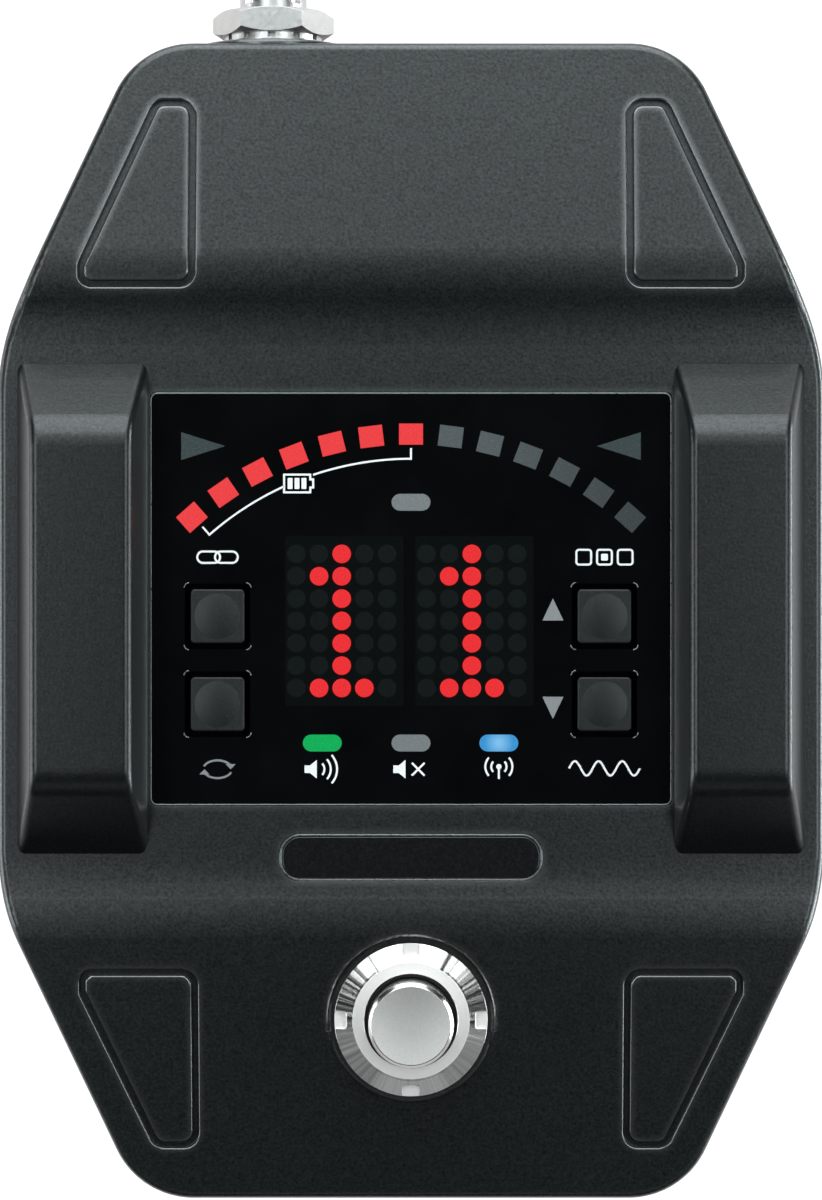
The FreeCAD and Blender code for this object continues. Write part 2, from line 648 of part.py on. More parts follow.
def footswitch_plunger():
    """Plunger with a bevelled, slightly dished cap and a flange that stops it under the bushing."""
    outline = [
        (0, PLUNGER_FLANGE_Z[0]),
        (PLUNGER_FLANGE_R, PLUNGER_FLANGE_Z[0]),
        (PLUNGER_FLANGE_R, PLUNGER_FLANGE_Z[1]),
        (PLUNGER_R, PLUNGER_FLANGE_Z[1]),
        (PLUNGER_R, PLUNGER_TOP - 0.45),
        (PLUNGER_R - 0.35, PLUNGER_TOP - 0.05),
        (PLUNGER_R - 0.45, PLUNGER_TOP),
        (0, PLUNGER_TOP),
    ]
    dish = Part.makeSphere(PLUNGER_DISH_R, V(0, SWITCH_Y, PLUNGER_TOP - PLUNGER_DISH_DEPTH + PLUNGER_DISH_R))
    return revolved(0, SWITCH_Y, outline).cut(dish)


def footswitch_body():
    """Square switch case with the spring chamber."""
    case = centred_box(0, SWITCH_Y, 2 * SWITCH_HALF, 2 * SWITCH_HALF, SWITCH_BODY_Z)
    return case.cut(post(0, SWITCH_Y, SWITCH_CAVITY_R, (SWITCH_CAVITY_Z, SWITCH_BODY_Z[1])))


def footswitch_spring():
    """Return spring between the bottom of the chamber and the plunger."""
    wire_r = 0.4
    coil_r = 4.6
    turns = 4.5
    points_per_turn = 12
    low = SWITCH_CAVITY_Z + wire_r
    rise = PLUNGER_FLANGE_Z[0] - wire_r - low
    count = int(turns * points_per_turn)
    points = []
    for i in range(count + 1):
        angle = 2 * math.pi * turns * i / count
        points.append(V(coil_r * math.cos(angle), SWITCH_Y + coil_r * math.sin(angle), low + rise * i / count))
    line = Part.BSplineCurve()
    line.interpolate(points)
    start_direction = line.tangent(line.FirstParameter)[0]
    section = Part.Wire(Part.makeCircle(wire_r, points[0], start_direction))
    return Part.Wire(line.toShape()).makePipeShell([section], True, False)


def footswitch_terminals():
    """Solder lugs under the footswitch."""
    lugs = []
    for i in (-1, 1):
        for j in (-1, 0, 1):
            lugs.append(centred_box(i * 4.7, SWITCH_Y + j * 4.7, 2.0, 0.8, (4.5, SWITCH_BODY_Z[0])))
    return Part.makeCompound(lugs)


def hex_ring(x, y, across_flats, bore_r, z_range):
    """Hexagonal nut or spacer on an upright axis."""
    corner_r = across_flats / math.sqrt(3)
    angles = [math.radians(60 * k) for k in range(6)]
    corners = [(x + corner_r * math.cos(a), y + corner_r * math.sin(a)) for a in angles]
    return prism(corners, [0] * 6, z_range).cut(post(x, y, bore_r, z_range))


def output_jack_bushing():
    """Threaded sleeve of the output socket, with a slotted crown at its end."""
    crown_r = 4.05
    crown_y = 73.95
    sleeve = rod(JACK_X, JACK_Z, JACK_THREAD_R, (JACK_BODY_Y[1], crown_y))
    crown = rod(JACK_X, JACK_Z, crown_r, (crown_y, JACK_END_Y))
    sleeve = sleeve.fuse(crown).cut(rod(JACK_X, JACK_Z, JACK_BORE_R, (JACK_BODY_Y[1], JACK_END_Y)))
    for k in range(4):
        slot = box((JACK_X - 0.7, JACK_X + 0.7), (JACK_END_Y - 1.3, JACK_END_Y + 1), (JACK_Z, JACK_Z + 6))
        slot.rotate(V(JACK_X, 0, JACK_Z), REARWARD, 90 * k + 45)
        sleeve = sleeve.cut(slot)
    return sleeve.removeSplitter()


def output_jack_nut():
    """Hexagonal nut with chamfered corners."""
    low, high = JACK_NUT_Y
    nut = hexagon(JACK_X, JACK_Z, JACK_NUT_AF, JACK_NUT_Y)
    corner_r = JACK_NUT_AF / math.sqrt(3)
    flat_r = JACK_NUT_AF / 2
    chamfer = (corner_r - flat_r) * math.tan(math.radians(30))
    outline = [(0, low), (flat_r, low), (corner_r, low + chamfer), (corner_r, high - chamfer),
               (flat_r, high), (0, high)]
    points = [V(JACK_X + r, y, JACK_Z) for r, y in outline]
    envelope = Part.Face(Part.makePolygon(points + points[:1])).revolve(V(JACK_X, 0, JACK_Z), REARWARD, 360)
    return nut.common(envelope).cut(rod(JACK_X, JACK_Z, JACK_THREAD_R + 0.03, JACK_NUT_Y))


def washer(outer_r, y_range):
    """Flat ring round the output socket's sleeve."""
    return rod(JACK_X, JACK_Z, outer_r, y_range).cut(rod(JACK_X, JACK_Z, JACK_THREAD_R + 0.15, y_range))


def output_jack_lock_washer():
    """Toothed washer under the nut."""
    y_range = (JACK_BOSS_Y + 0.6, JACK_NUT_Y[0])
    ring = washer(5.9, y_range)
    teeth = 12
    for k in range(teeth):
        gap = box((JACK_X - 0.45, JACK_X + 0.45), (y_range[0] - 1, y_range[1] + 1), (JACK_Z + 5.25, JACK_Z + 7))
        gap.rotate(V(JACK_X, 0, JACK_Z), REARWARD, 360 / teeth * k)
        ring = ring.cut(gap)
    return ring


def output_jack_body():
    """Insulating case of the output socket, open at the rear."""
    half = JACK_BODY_HALF
    case = box((JACK_X - half, JACK_X + half), JACK_BODY_Y, (JACK_Z - half, JACK_Z + half))
    case = case.cut(rod(JACK_X, JACK_Z, JACK_BORE_R + 0.4, (JACK_BODY_Y[0] + 1.5, JACK_BODY_Y[1])))
    for side in (-1, 1):
        case = case.cut(jack_contact(side))
    return case


def jack_contact(side):
    """Leaf contact in a slot of the output socket's case."""
    x = JACK_X + side * (JACK_BORE_R + 1.1)
    return centred_box(x, 54.0, 0.5, 14.0, (JACK_Z - 2, JACK_Z + 2))


def power_jack_body():
    """Case of the power socket, open at the rear."""
    case = centred_box(POWER_X, INNER_REAR_Y - 7, 9.0, 14.0, (MAIN_BOARD_Z[1], POWER_Z + 5.4))
    return case.cut(rod(POWER_X, POWER_Z, POWER_BORE_R, (INNER_REAR_Y - 11, INNER_REAR_Y)))


def power_jack_pin():
    """Centre pin of the power socket."""
    return rod(POWER_X, POWER_Z, 1.05, (INNER_REAR_Y - 11, INNER_REAR_Y - 0.5))


def power_jack_contact():
    """Spring strip on top of the power socket."""
    return centred_box(POWER_X, INNER_REAR_Y - 8, 2.4, 9.0, (POWER_Z + 5.4, POWER_Z + 5.7))


def data_port_shell():
    """Metal shell of the data port."""
    z_low = MAIN_BOARD_Z[1]
    shell = centred_box(PORT_X, INNER_REAR_Y - 1.8, PORT_SIZE[0], 8.0, (z_low, z_low + PORT_SIZE[1]))
    hollow = centred_box(PORT_X, INNER_REAR_Y - 1.2, PORT_SIZE[0] - 0.6, 8.0,
                         (z_low + 0.3, z_low + PORT_SIZE[1] - 0.3))
    return shell.cut(hollow)


def data_port_tongue():
    """Contact tongue inside the data port."""
    middle_z = MAIN_BOARD_Z[1] + PORT_SIZE[1] / 2
    return centred_box(PORT_X, INNER_REAR_Y - 3.0, 3.6, 4.4, (middle_z - 0.3, middle_z + 0.3))


def nameplate():
    """Blank plate in a shallow pocket of the deck."""
    plate = rounded_box(0, NAMEPLATE_Y, NAMEPLATE_SIZE[0], NAMEPLATE_SIZE[1], 2.2, NAMEPLATE_Z)
    top_edges = [e for e in plate.Edges if e.BoundBox.ZMin > NAMEPLATE_Z[1] - 0.01]
    return plate.makeFillet(0.2, top_edges)


def all_nodes():
    """Every piece of the object, by node name."""
    lenses = display_lenses()
    board_top = MAIN_BOARD_Z[1]
    nodes = {
        "top_housing": top_housing(),
        "base_plate": base_plate(),
        "rubber_base_pad": rubber_base_pad(),
        "base_screws": Part.makeCompound([base_screw(x, y, True) for x, y in BASE_SCREW_PLACES]),
        "left_antenna_cover": antenna_cover(-1),
        "right_antenna_cover": antenna_cover(1),
        "left_antenna_board": antenna_board(-1),
        "right_antenna_board": antenna_board(1),
        "blank_nameplate": nameplate(),
        "display_window": display_window(lenses),
        "window_gasket": window_gasket(),
        "left_digit_matrix": digit_matrix(MATRIX_X[0]),
        "right_digit_matrix": digit_matrix(MATRIX_X[1]),
        "indicator_leds": indicator_leds(lenses),
        "tact_switches": tact_switches(),
        "display_board": display_board(),
        "display_board_screws": Part.makeCompound(
            [pan_screw(x, y, DISPLAY_BOARD_Z[0], 0.8, FLOOR_Z - 3) for x, y in DISPLAY_SCREW_PLACES]),
        "board_link_header": centred_box(0, -15, 24, 5, (board_top, DISPLAY_BOARD_Z[0])),
        "main_board": main_board(),
        "main_board_standoffs": Part.makeCompound(
            [hex_ring(x, y, 5.0, 1.25, (PLATE_TOP, MAIN_BOARD_Z[0])) for x, y in MAIN_SCREW_PLACES]),
        "main_board_screws": Part.makeCompound(
            [pan_screw(x, y, board_top, 1.25, PLATE_TOP) for x, y in MAIN_SCREW_PLACES]),
        "radio_shield": radio_shield(),
        "processor_chip": centred_box(14, 14, 12, 12, (board_top, board_top + 1.4)),
        "converter_chip": centred_box(16, 34, 7, 7, (board_top, board_top + 1.0)),
        "footswitch_body": footswitch_body(),
        "footswitch_bushing": footswitch_bushing(),
        "footswitch_plunger": footswitch_plunger(),
        "footswitch_spring": footswitch_spring(),
        "footswitch_dress_nut": footswitch_dress_nut(),
        "footswitch_lock_washer": post(0, SWITCH_Y, 8.5, (SEAT_UNDERSIDE - 0.8, SEAT_UNDERSIDE)).cut(
            post(0, SWITCH_Y, BUSHING_R + 0.1, (SEAT_UNDERSIDE - 0.8, SEAT_UNDERSIDE))),
        "footswitch_lock_nut": hex_ring(0, SWITCH_Y, 14.0, BUSHING_R + 0.05,
                                        (SEAT_UNDERSIDE - 3.2, SEAT_UNDERSIDE - 0.8)),
        "footswitch_terminals": footswitch_terminals(),
        "output_jack_body": output_jack_body(),
        "output_jack_bushing": output_jack_bushing(),
        "output_jack_nut": output_jack_nut(),
        "output_jack_lock_washer": output_jack_lock_washer(),
        "output_jack_flat_washer": washer(6.5, (JACK_BOSS_Y, JACK_BOSS_Y + 0.6)),
        "output_jack_contacts": Part.makeCompound([jack_contact(-1), jack_contact(1)]),
        "power_jack_body": power_jack_body(),
        "power_jack_pin": power_jack_pin(),
        "power_jack_contact": power_jack_contact(),
        "data_port_shell": data_port_shell(),
        "data_port_tongue": data_port_tongue(),
    }
    nodes.update(lenses)
    for name, (x, y) in button_places().items():
        nodes[name] = button(x, y)
    return nodes


for node_name, node_shape in all_nodes().items():
    node_shape.exportStep("parts/" + node_name + ".step")
    print(node_name, len(node_shape.Solids), "solids", round(node_shape.Volume, 1), node_shape.isValid())
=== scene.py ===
import bmesh
import bpy
import json
import math
from mathutils import Matrix, Vector


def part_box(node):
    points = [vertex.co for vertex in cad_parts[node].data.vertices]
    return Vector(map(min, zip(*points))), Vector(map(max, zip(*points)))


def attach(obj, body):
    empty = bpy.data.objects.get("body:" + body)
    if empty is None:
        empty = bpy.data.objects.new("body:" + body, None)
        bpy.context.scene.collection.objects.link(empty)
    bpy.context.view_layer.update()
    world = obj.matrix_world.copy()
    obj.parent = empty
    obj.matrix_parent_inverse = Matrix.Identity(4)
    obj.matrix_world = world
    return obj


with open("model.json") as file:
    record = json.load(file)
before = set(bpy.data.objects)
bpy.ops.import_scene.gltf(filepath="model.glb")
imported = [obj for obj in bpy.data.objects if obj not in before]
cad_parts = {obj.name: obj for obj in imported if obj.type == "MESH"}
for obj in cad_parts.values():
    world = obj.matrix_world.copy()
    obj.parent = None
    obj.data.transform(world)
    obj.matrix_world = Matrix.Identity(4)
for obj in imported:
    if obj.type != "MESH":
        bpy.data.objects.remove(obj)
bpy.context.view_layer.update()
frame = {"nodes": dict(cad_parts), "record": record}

MM = 0.001

# Print and grain are sized in millimetres; the camera and the lights are placed in metres.

# The window's upper face and the thin layers of print that lie on it.
WINDOW_LOW, WINDOW_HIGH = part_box("display_window")
WINDOW_TOP = WINDOW_HIGH.z / MM
PRINT_FOOT = WINDOW_TOP - 0.02
LAYER = 0.012
BUTTONS = ("link", "mode", "group", "channel")

# Camera, straight above the object; lens and sensor in millimetres.
CAMERA_HEIGHT = 0.467
CAMERA_Y = 0.00263
CAMERA_LENS = 110.5
CAMERA_SENSOR = 36.0
CAMERA_CLIP = 0.01

# Grain of the powder coat and of the moulded rails, pitch of the ribs on the rubber pad, and how
# many samples the shading of rounded edges takes.
COAT_GRAIN = 0.34
RIB_PITCH = 1.6
BEVEL_SAMPLES = 6
RIDGE_SAMPLES = 8

# The footswitch's nut: width of the turning lines, brush strokes per radian and radius of its bore.
TURNING_LINE = 0.12
BRUSH_STROKES = 14.0
BORE_R = 5.5 * MM

# Light table: half its side, its glow and where that fades. Then the tones of the room from low to
# high, and the tint of the softboxes.
FLOOR_SIZE = 1.6
FLOOR_GLOW = 0.96
GLOW_REACH = (0.13, 0.30)
WORLD_TONES = (0.02, 0.01)
LIGHT_TINT = (0.91, 1.0, 1.02)

# Softboxes: middle of the lower edge, middle of the upper edge, width and radiance.
SOFTBOXES = {
    "key_light": ((-0.01, 0.42, 0.02), (-0.01, 0.27, 0.43), 0.42, 4.6),
    "rear_top_light": ((-0.01, 0.24, 0.45), (-0.01, 0.13, 0.50), 0.56, 1.2),
    "left_light": ((-0.46, -0.08, 0.07), (-0.40, -0.08, 0.24), 0.24, 5.0),
    "right_light": ((0.46, -0.08, 0.07), (0.40, -0.08, 0.24), 0.24, 5.6),
    "left_low_light": ((-0.46, 0.0, 0.0), (-0.46, 0.0, 0.06), 0.50, 6.0),
    "right_low_light": ((0.46, 0.0, 0.0), (0.46, 0.0, 0.06), 0.50, 27.0),
    "left_top_light": ((-0.27, 0.03, 0.40), (-0.15, 0.03, 0.47), 0.34, 4.3),
    "right_top_light": ((0.27, 0.03, 0.40), (0.15, 0.03, 0.47), 0.34, 4.3),
    "front_card": ((0.0, -0.37, 0.22), (0.0, -0.30, 0.32), 0.30, 0.38),
    "left_front_card": ((-0.28, -0.27, 0.20), (-0.22, -0.22, 0.33), 0.26, 0.20),
    "right_front_card": ((0.28, -0.27, 0.20), (0.22, -0.22, 0.33), 0.26, 0.24),
}

# Digits: five columns and seven rows of dots, a little left of the middle of their block.
DOT_PITCH_X = 2.68
DOT_PITCH_Y = 2.645
DOT_R = 1.1
DOT_SHIFT = -0.3
HALO_WIDTH = 0.14
BLOCK_INSET = 0.9
BLOCK_LINE = 0.12
DIGIT_ONE = ["..#..", ".##..", "..#..", "..#..", "..#..", "..#..", ".###."]

# Tops of the digits' layers: block, border, painted red glow round the lit dots, unlit dot and lit dot.
BLOCK_TOP = WINDOW_TOP + 0.5 * LAYER
BORDER_TOP = WINDOW_TOP + 0.8 * LAYER
HALO_TOP = WINDOW_TOP + LAYER
UNLIT_TOP = WINDOW_TOP + 1.5 * LAYER
LIT_TOP = WINDOW_TOP + 2.5 * LAYER


# ---------------------------------------------------------------- materials


class Look:
    """A material, with short calls for the nodes used here. Sizes are in millimetres."""

    def __init__(self, name, **sockets):
        self.material = bpy.data.materials.new(name)
        self.material.use_nodes = True
        self.tree = self.material.node_tree
        self.shader = self.tree.nodes["Principled BSDF"]
        self.place = self.node("ShaderNodeTexCoord").outputs["Object"]
        for socket, value in sockets.items():
            self.shader.inputs[socket.replace("_", " ")].default_value = value

    def node(self, kind, **inputs):
        made = self.tree.nodes.new(kind)
        for name, value in inputs.items():
            socket = made.inputs[name.replace("_", " ")]
            if isinstance(value, bpy.types.NodeSocket):
                self.tree.links.new(value, socket)
            else:
                socket.default_value = value
        return made

    def link(self, output, socket):
        self.tree.links.new(output, self.shader.inputs[socket])

    def stretched(self, x, y, z):
        """The place on the surface, scaled differently along each axis."""
        mapping = self.node("ShaderNodeMapping", Vector=self.place)
        mapping.inputs["Scale"].default_value = (x, y, z)
        return mapping.outputs["Vector"]

    def around(self, centre):
        """The place measured from a point given in metres."""
        mapping = self.node("ShaderNodeMapping", Vector=self.place)
        mapping.inputs["Location"].default_value = [-c for c in centre]
        return mapping.outputs["Vector"]

    def noise(self, size, detail=3.0, roughness=0.55, place=None):
        made = self.node("ShaderNodeTexNoise", Vector=place or self.place, Scale=1000.0 / size,
                         Detail=detail, Roughness=roughness)
        return made.outputs["Fac"]

    def cells(self, size):
        made = self.node("ShaderNodeTexVoronoi", Vector=self.place, Scale=1000.0 / size)
        return made.outputs["Distance"]

    def ramp(self, factor, *stops):
        """A colour ramp; each stop is (position, (r, g, b))."""
        made = self.node("ShaderNodeValToRGB", Fac=factor)
        elements = made.color_ramp.elements
        while len(elements) < len(stops):
            elements.new(0.5)
        for element, (position, colour) in zip(elements, stops):
            element.position = position
            element.color = (*colour, 1.0)
        return made.outputs["Color"]

    def between(self, factor, low, high, start=0.3, end=0.7):
        made = self.node("ShaderNodeMapRange", Value=factor)
        made.inputs["From Min"].default_value = start
        made.inputs["From Max"].default_value = end
        made.inputs["To Min"].default_value = low
        made.inputs["To Max"].default_value = high
        return made.outputs["Result"]

    def maths(self, operation, first, second=None):
        made = self.node("ShaderNodeMath")
        made.operation = operation
        for socket, value in zip(made.inputs, (first, second)):
            if isinstance(value, bpy.types.NodeSocket):
                self.tree.links.new(value, socket)
            elif value is not None:
                socket.default_value = value
        return made.outputs["Value"]

    def line_noise(self, along, scale):
        """Noise that varies only with one number."""
        made = self.node("ShaderNodeTexNoise", Scale=scale, Detail=3.0)
        made.noise_dimensions = "1D"
        self.tree.links.new(along, made.inputs["W"])
        return made.outputs["Fac"]

    def mixed(self, factor, first, second):
        made = self.node("ShaderNodeMix")
        made.data_type = "RGBA"
        sockets = {s.identifier: s for s in made.inputs}
        for identifier, value in (("Factor_Float", factor), ("A_Color", first), ("B_Color", second)):
            if isinstance(value, bpy.types.NodeSocket):
                self.tree.links.new(value, sockets[identifier])
            else:
                sockets[identifier].default_value = value
        return [s for s in made.outputs if s.identifier == "Result_Color"][0]

    def blended(self, factor, first, second):
        """A number that goes from the first to the second with the factor."""
        made = self.node("ShaderNodeMix", Factor=factor)
        sockets = {s.identifier: s for s in made.inputs}
        self.tree.links.new(first, sockets["A_Float"])
        self.tree.links.new(second, sockets["B_Float"])
        return [s for s in made.outputs if s.identifier == "Result_Float"][0]

    def relief(self, height, depth, below=None):
        """Small relief from a height between 0 and 1, over an earlier relief or rounding."""
        made = self.node("ShaderNodeBump", Height=height, Strength=1.0, Distance=depth * MM)
        if below:
            self.tree.links.new(below, made.inputs["Normal"])
        return made.outputs["Normal"]

    def rounding(self, radius):
        """Softens the sharp edges of the mesh in the shading."""
        made = self.node("ShaderNodeBevel", Radius=radius * MM)
        made.samples = BEVEL_SAMPLES
        return made.outputs["Normal"]

    def ridge_mask(self, reach, start, end):
        """1 on the crests of rounded edges and 0 on flats and in hollows."""
        made = self.node("ShaderNodeAmbientOcclusion", Distance=reach * MM)
        made.inside = True
        made.samples = RIDGE_SAMPLES
        return self.between(made.outputs["AO"], 1.0, 0.0, start, end)

    def edge_mask(self, radius, start, end):
        """1 on the mesh's sharp edges and 0 on its flats."""
        corner = self.node("ShaderNodeVectorMath")
        corner.operation = "DOT_PRODUCT"
        self.tree.links.new(self.rounding(radius), corner.inputs[0])
        self.tree.links.new(self.node("ShaderNodeNewGeometry").outputs["Normal"], corner.inputs[1])
        return self.between(corner.outputs["Value"], 1.0, 0.0, start, end)


def powder_coat():
    """Charcoal powder coat with a fine grain; its rubbed, glossy edges are lighter, partly as painted
    highlight.
    """
    look = Look("powder_coat", Coat_Roughness=0.16, Coat_IOR=2.4)
    grain = look.noise(COAT_GRAIN, 4.0, 0.65)
    patch = look.noise(14.0, 3.0, 0.5)
    dark = look.ramp(grain, (0.34, (0.0008, 0.0013, 0.0013)), (0.66, (0.0052, 0.0066, 0.0067)))
    light = look.ramp(grain, (0.34, (0.0010, 0.0016, 0.0016)), (0.66, (0.0062, 0.0078, 0.0079)))
    body = look.mixed(look.between(patch, 0.0, 1.0), dark, light)
    ridge = look.ridge_mask(0.9, 0.50, 0.97)
    # Lighter colour on the crests: partly rubbed wear, partly painted highlight along the edges.
    look.link(look.mixed(ridge, body, (0.022, 0.025, 0.025, 1.0)), "Base Color")
    look.link(look.between(look.noise(0.9, 3.0), 0.31, 0.36), "Roughness")
    look.link(look.between(grain, 0.34, 0.66), "Specular IOR Level")
    look.link(ridge, "Coat Weight")
    look.link(look.relief(grain, 0.022, look.rounding(0.12)), "Normal")
    return look.material


def rail_plastic():
    """Satin moulded plastic with faint flow lines across the rail."""
    look = Look("rail_plastic")
    grain = look.noise(COAT_GRAIN, 4.0, 0.65)
    lines = look.noise(0.5, 2.0, 0.5, look.stretched(0.06, 1.0, 1.0))
    dark, light = (0.0012, 0.0018, 0.0020, 1.0), (0.0028, 0.0036, 0.0039, 1.0)
    tone = look.mixed(look.between(lines, 0.25, 0.75), dark, light)
    look.link(look.mixed(look.between(grain, 0.0, 0.6), tone, (0.0042, 0.0052, 0.0054, 1.0)), "Base Color")
    look.link(look.between(look.noise(0.9, 3.0), 0.28, 0.32), "Roughness")
    look.link(look.between(grain, 0.36, 0.62), "Specular IOR Level")
    streaked = look.relief(lines, 0.006, look.rounding(0.1))
    look.link(look.relief(grain, 0.016, streaked), "Normal")
    return look.material


def black_paint():
    """Smooth black paint on the steel base plate, with rubbed edges."""
    look = Look("black_paint")
    peel = look.noise(0.8, 2.0)
    body = look.ramp(look.noise(6.0, 4.0), (0.3, (0.012, 0.012, 0.013)), (0.7, (0.022, 0.022, 0.023)))
    worn = look.edge_mask(0.2, 0.80, 0.98)
    look.link(look.mixed(worn, body, (0.09, 0.09, 0.09, 1.0)), "Base Color")
    look.link(look.between(peel, 0.30, 0.42), "Roughness")
    look.link(look.relief(peel, 0.012, look.rounding(0.15)), "Normal")
    return look.material


def pad_rubber():
    """Matt rubber with fine ribs and dust."""
    look = Look("pad_rubber", Specular_IOR_Level=0.35)
    dust = look.noise(5.0, 5.0, 0.7)
    ribs = look.node("ShaderNodeTexWave", Vector=look.place, Scale=1000.0 / (math.pi * RIB_PITCH))
    ribs.bands_direction = "Y"
    look.link(look.ramp(dust, (0.35, (0.012, 0.012, 0.012)), (0.75, (0.035, 0.034, 0.033))), "Base Color")
    look.link(look.between(dust, 0.75, 0.92), "Roughness")
    look.link(look.relief(look.noise(0.25, 2.0), 0.02, look.relief(ribs.outputs["Fac"], 0.12)), "Normal")
    return look.material


def window_black():
    """Gloss black window with the faintest haze and wipe marks."""
    look = Look("window_black", Specular_IOR_Level=0.45)
    haze = look.noise(9.0, 5.0, 0.6)
    wipes = look.noise(2.2, 3.0, 0.5, look.stretched(1.0, 0.12, 1.0))
    tone = look.ramp(haze, (0.35, (0.0016, 0.0017, 0.0019)), (0.8, (0.0030, 0.0032, 0.0034)))
    look.link(tone, "Base Color")
    look.link(look.between(wipes, 0.045, 0.085), "Roughness")
    look.link(look.relief(haze, 0.0015), "Normal")
    return look.material


def print_ink(name, colour, glossy=0.45):
    """Screen-printed ink on the window: a flat tone with a slight weave of the screen."""
    look = Look(name)
    screen = look.noise(0.14, 2.0)
    low = [0.86 * c for c in colour]
    look.link(look.ramp(screen, (0.3, low), (0.7, colour)), "Base Color")
    look.link(look.between(screen, glossy - 0.05, glossy + 0.05), "Roughness")
    look.link(look.relief(screen, 0.002), "Normal")
    return look.material


def lamp(name, colour, glow, strength, core=None, centres=(), reach=2.0):
    """A diffusing lens. A lit one glows, brighter near the lamp behind it."""
    look = Look(name, Emission_Strength=strength)
    grain = look.noise(0.22, 3.0, 0.6)
    low = [0.8 * c for c in colour]
    look.link(look.ramp(grain, (0.3, low), (0.7, colour)), "Base Color")
    look.link(look.between(grain, 0.18, 0.30), "Roughness")
    if strength:
        low_glow = [0.93 * c for c in glow]
        shine = look.ramp(grain, (0.35, low_glow), (0.62, glow))
        for centre in centres:
            spread = look.node("ShaderNodeVectorMath")
            spread.operation = "LENGTH"
            look.tree.links.new(look.around(centre), spread.inputs[0])
            near = look.between(spread.outputs["Value"], 1.0, 0.0, 0.15 * reach * MM, reach * MM)
            shine = look.mixed(near, shine, (*core, 1.0))
        look.link(shine, "Emission Color")
    look.link(look.relief(grain, 0.003), "Normal")
    return look.material


def unlit_bars():
    """Grey lenses of the meter's right half, each one darker than the last."""
    look = Look("dark_bar")
    grain = look.noise(0.22, 3.0, 0.6)
    tone = look.ramp(grain, (0.3, (0.066, 0.076, 0.078)), (0.7, (0.080, 0.090, 0.092)))
    across = look.node("ShaderNodeSeparateXYZ", Vector=look.place).outputs["X"]
    low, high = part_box("unlit_bar_lenses")
    fading = look.between(across, 0.0, 1.0, low.x + 5.8 * MM, high.x - 1.8 * MM)
    look.link(look.mixed(fading, tone, (0.038, 0.044, 0.045, 1.0)), "Base Color")
    look.link(look.between(grain, 0.18, 0.30), "Roughness")
    look.link(look.relief(grain, 0.003), "Normal")
    return look.material


def button_black():
    """Satin black plastic of the push buttons, with painted shade on their sides down in the recess."""
    look = Look("button_black")
    grain = look.noise(0.25, 3.0, 0.6)
    top = look.ramp(grain, (0.3, (0.0055, 0.0064, 0.0066)), (0.7, (0.0120, 0.0132, 0.0135)))
    height = look.node("ShaderNodeSeparateXYZ", Vector=look.place).outputs["Z"]
    # Below the window's top, colour and reflection fade to near-black: painted shade in the recess.
    clear_of_painted_shade = look.between(height, 0.0, 1.0, WINDOW_HIGH.z - 0.5 * MM, WINDOW_HIGH.z)
    look.link(look.mixed(clear_of_painted_shade, (0.0008, 0.0009, 0.0010, 1.0), top), "Base Color")
    look.link(look.between(clear_of_painted_shade, 0.02, 0.32, 0.0, 1.0), "Specular IOR Level")
    look.link(look.between(grain, 0.34, 0.44), "Roughness")
    look.link(look.relief(grain, 0.008, look.rounding(0.15)), "Normal")
    return look.material


def nickel(name, colour, rough, grain=0.001):
    """Nickel or zinc plate, a little cloudy."""
    look = Look(name, Metallic=1.0)
    cloud = look.noise(1.6, 4.0)
    low = [0.90 * c for c in colour]
    look.link(look.ramp(cloud, (0.3, low), (0.7, colour)), "Base Color")
    look.link(look.between(look.noise(0.5, 4.0), rough * 0.8, rough * 1.25), "Roughness")
    look.link(look.relief(look.noise(0.2, 2.0), grain, look.rounding(0.08)), "Normal")
    return look.material


def turned_nickel(centre):
    """The footswitch's nut: a polished cone brushed outward from the axis, a satin land with
    fine turning lines, and painted shade in the bore."""
    look = Look("polished_nickel", Metallic=1.0)
    offset = look.node("ShaderNodeSeparateXYZ", Vector=look.around(centre))
    angle = look.maths("ARCTAN2", offset.outputs["Y"], offset.outputs["X"])
    spread = look.maths("SQRT", look.maths("ADD", look.maths("POWER", offset.outputs["X"], 2.0),
                                           look.maths("POWER", offset.outputs["Y"], 2.0)))
    strokes = look.line_noise(angle, BRUSH_STROKES)
    rings = look.line_noise(spread, 1000.0 / TURNING_LINE)
    facing = look.node("ShaderNodeNewGeometry").outputs["Normal"]
    level = look.node("ShaderNodeSeparateXYZ", Vector=facing).outputs["Z"]
    land = look.between(level, 0.0, 1.0, 0.96, 0.99)
    cone_tone = look.ramp(strokes, (0.3, (0.66, 0.63, 0.61)), (0.6, (0.90, 0.86, 0.83)))
    tone = look.mixed(land, cone_tone, (0.86, 0.82, 0.80, 1.0))
    # Inside the bore the colour falls to near-black: painted shade.
    clear_of_bore_shade = look.between(spread, 0.0, 1.0, BORE_R - 0.04 * MM, BORE_R + 0.02 * MM)
    look.link(look.mixed(clear_of_bore_shade, (0.03, 0.03, 0.03, 1.0), tone), "Base Color")
    brushed = look.between(strokes, 0.10, 0.26)
    blasted = look.between(look.noise(0.14, 3.0), 0.48, 0.60)
    look.link(look.blended(land, brushed, blasted), "Roughness")
    turned = look.relief(rings, 0.002, look.rounding(0.06))
    look.link(look.relief(look.noise(0.2, 2.0), 0.001, turned), "Normal")
    return look.material


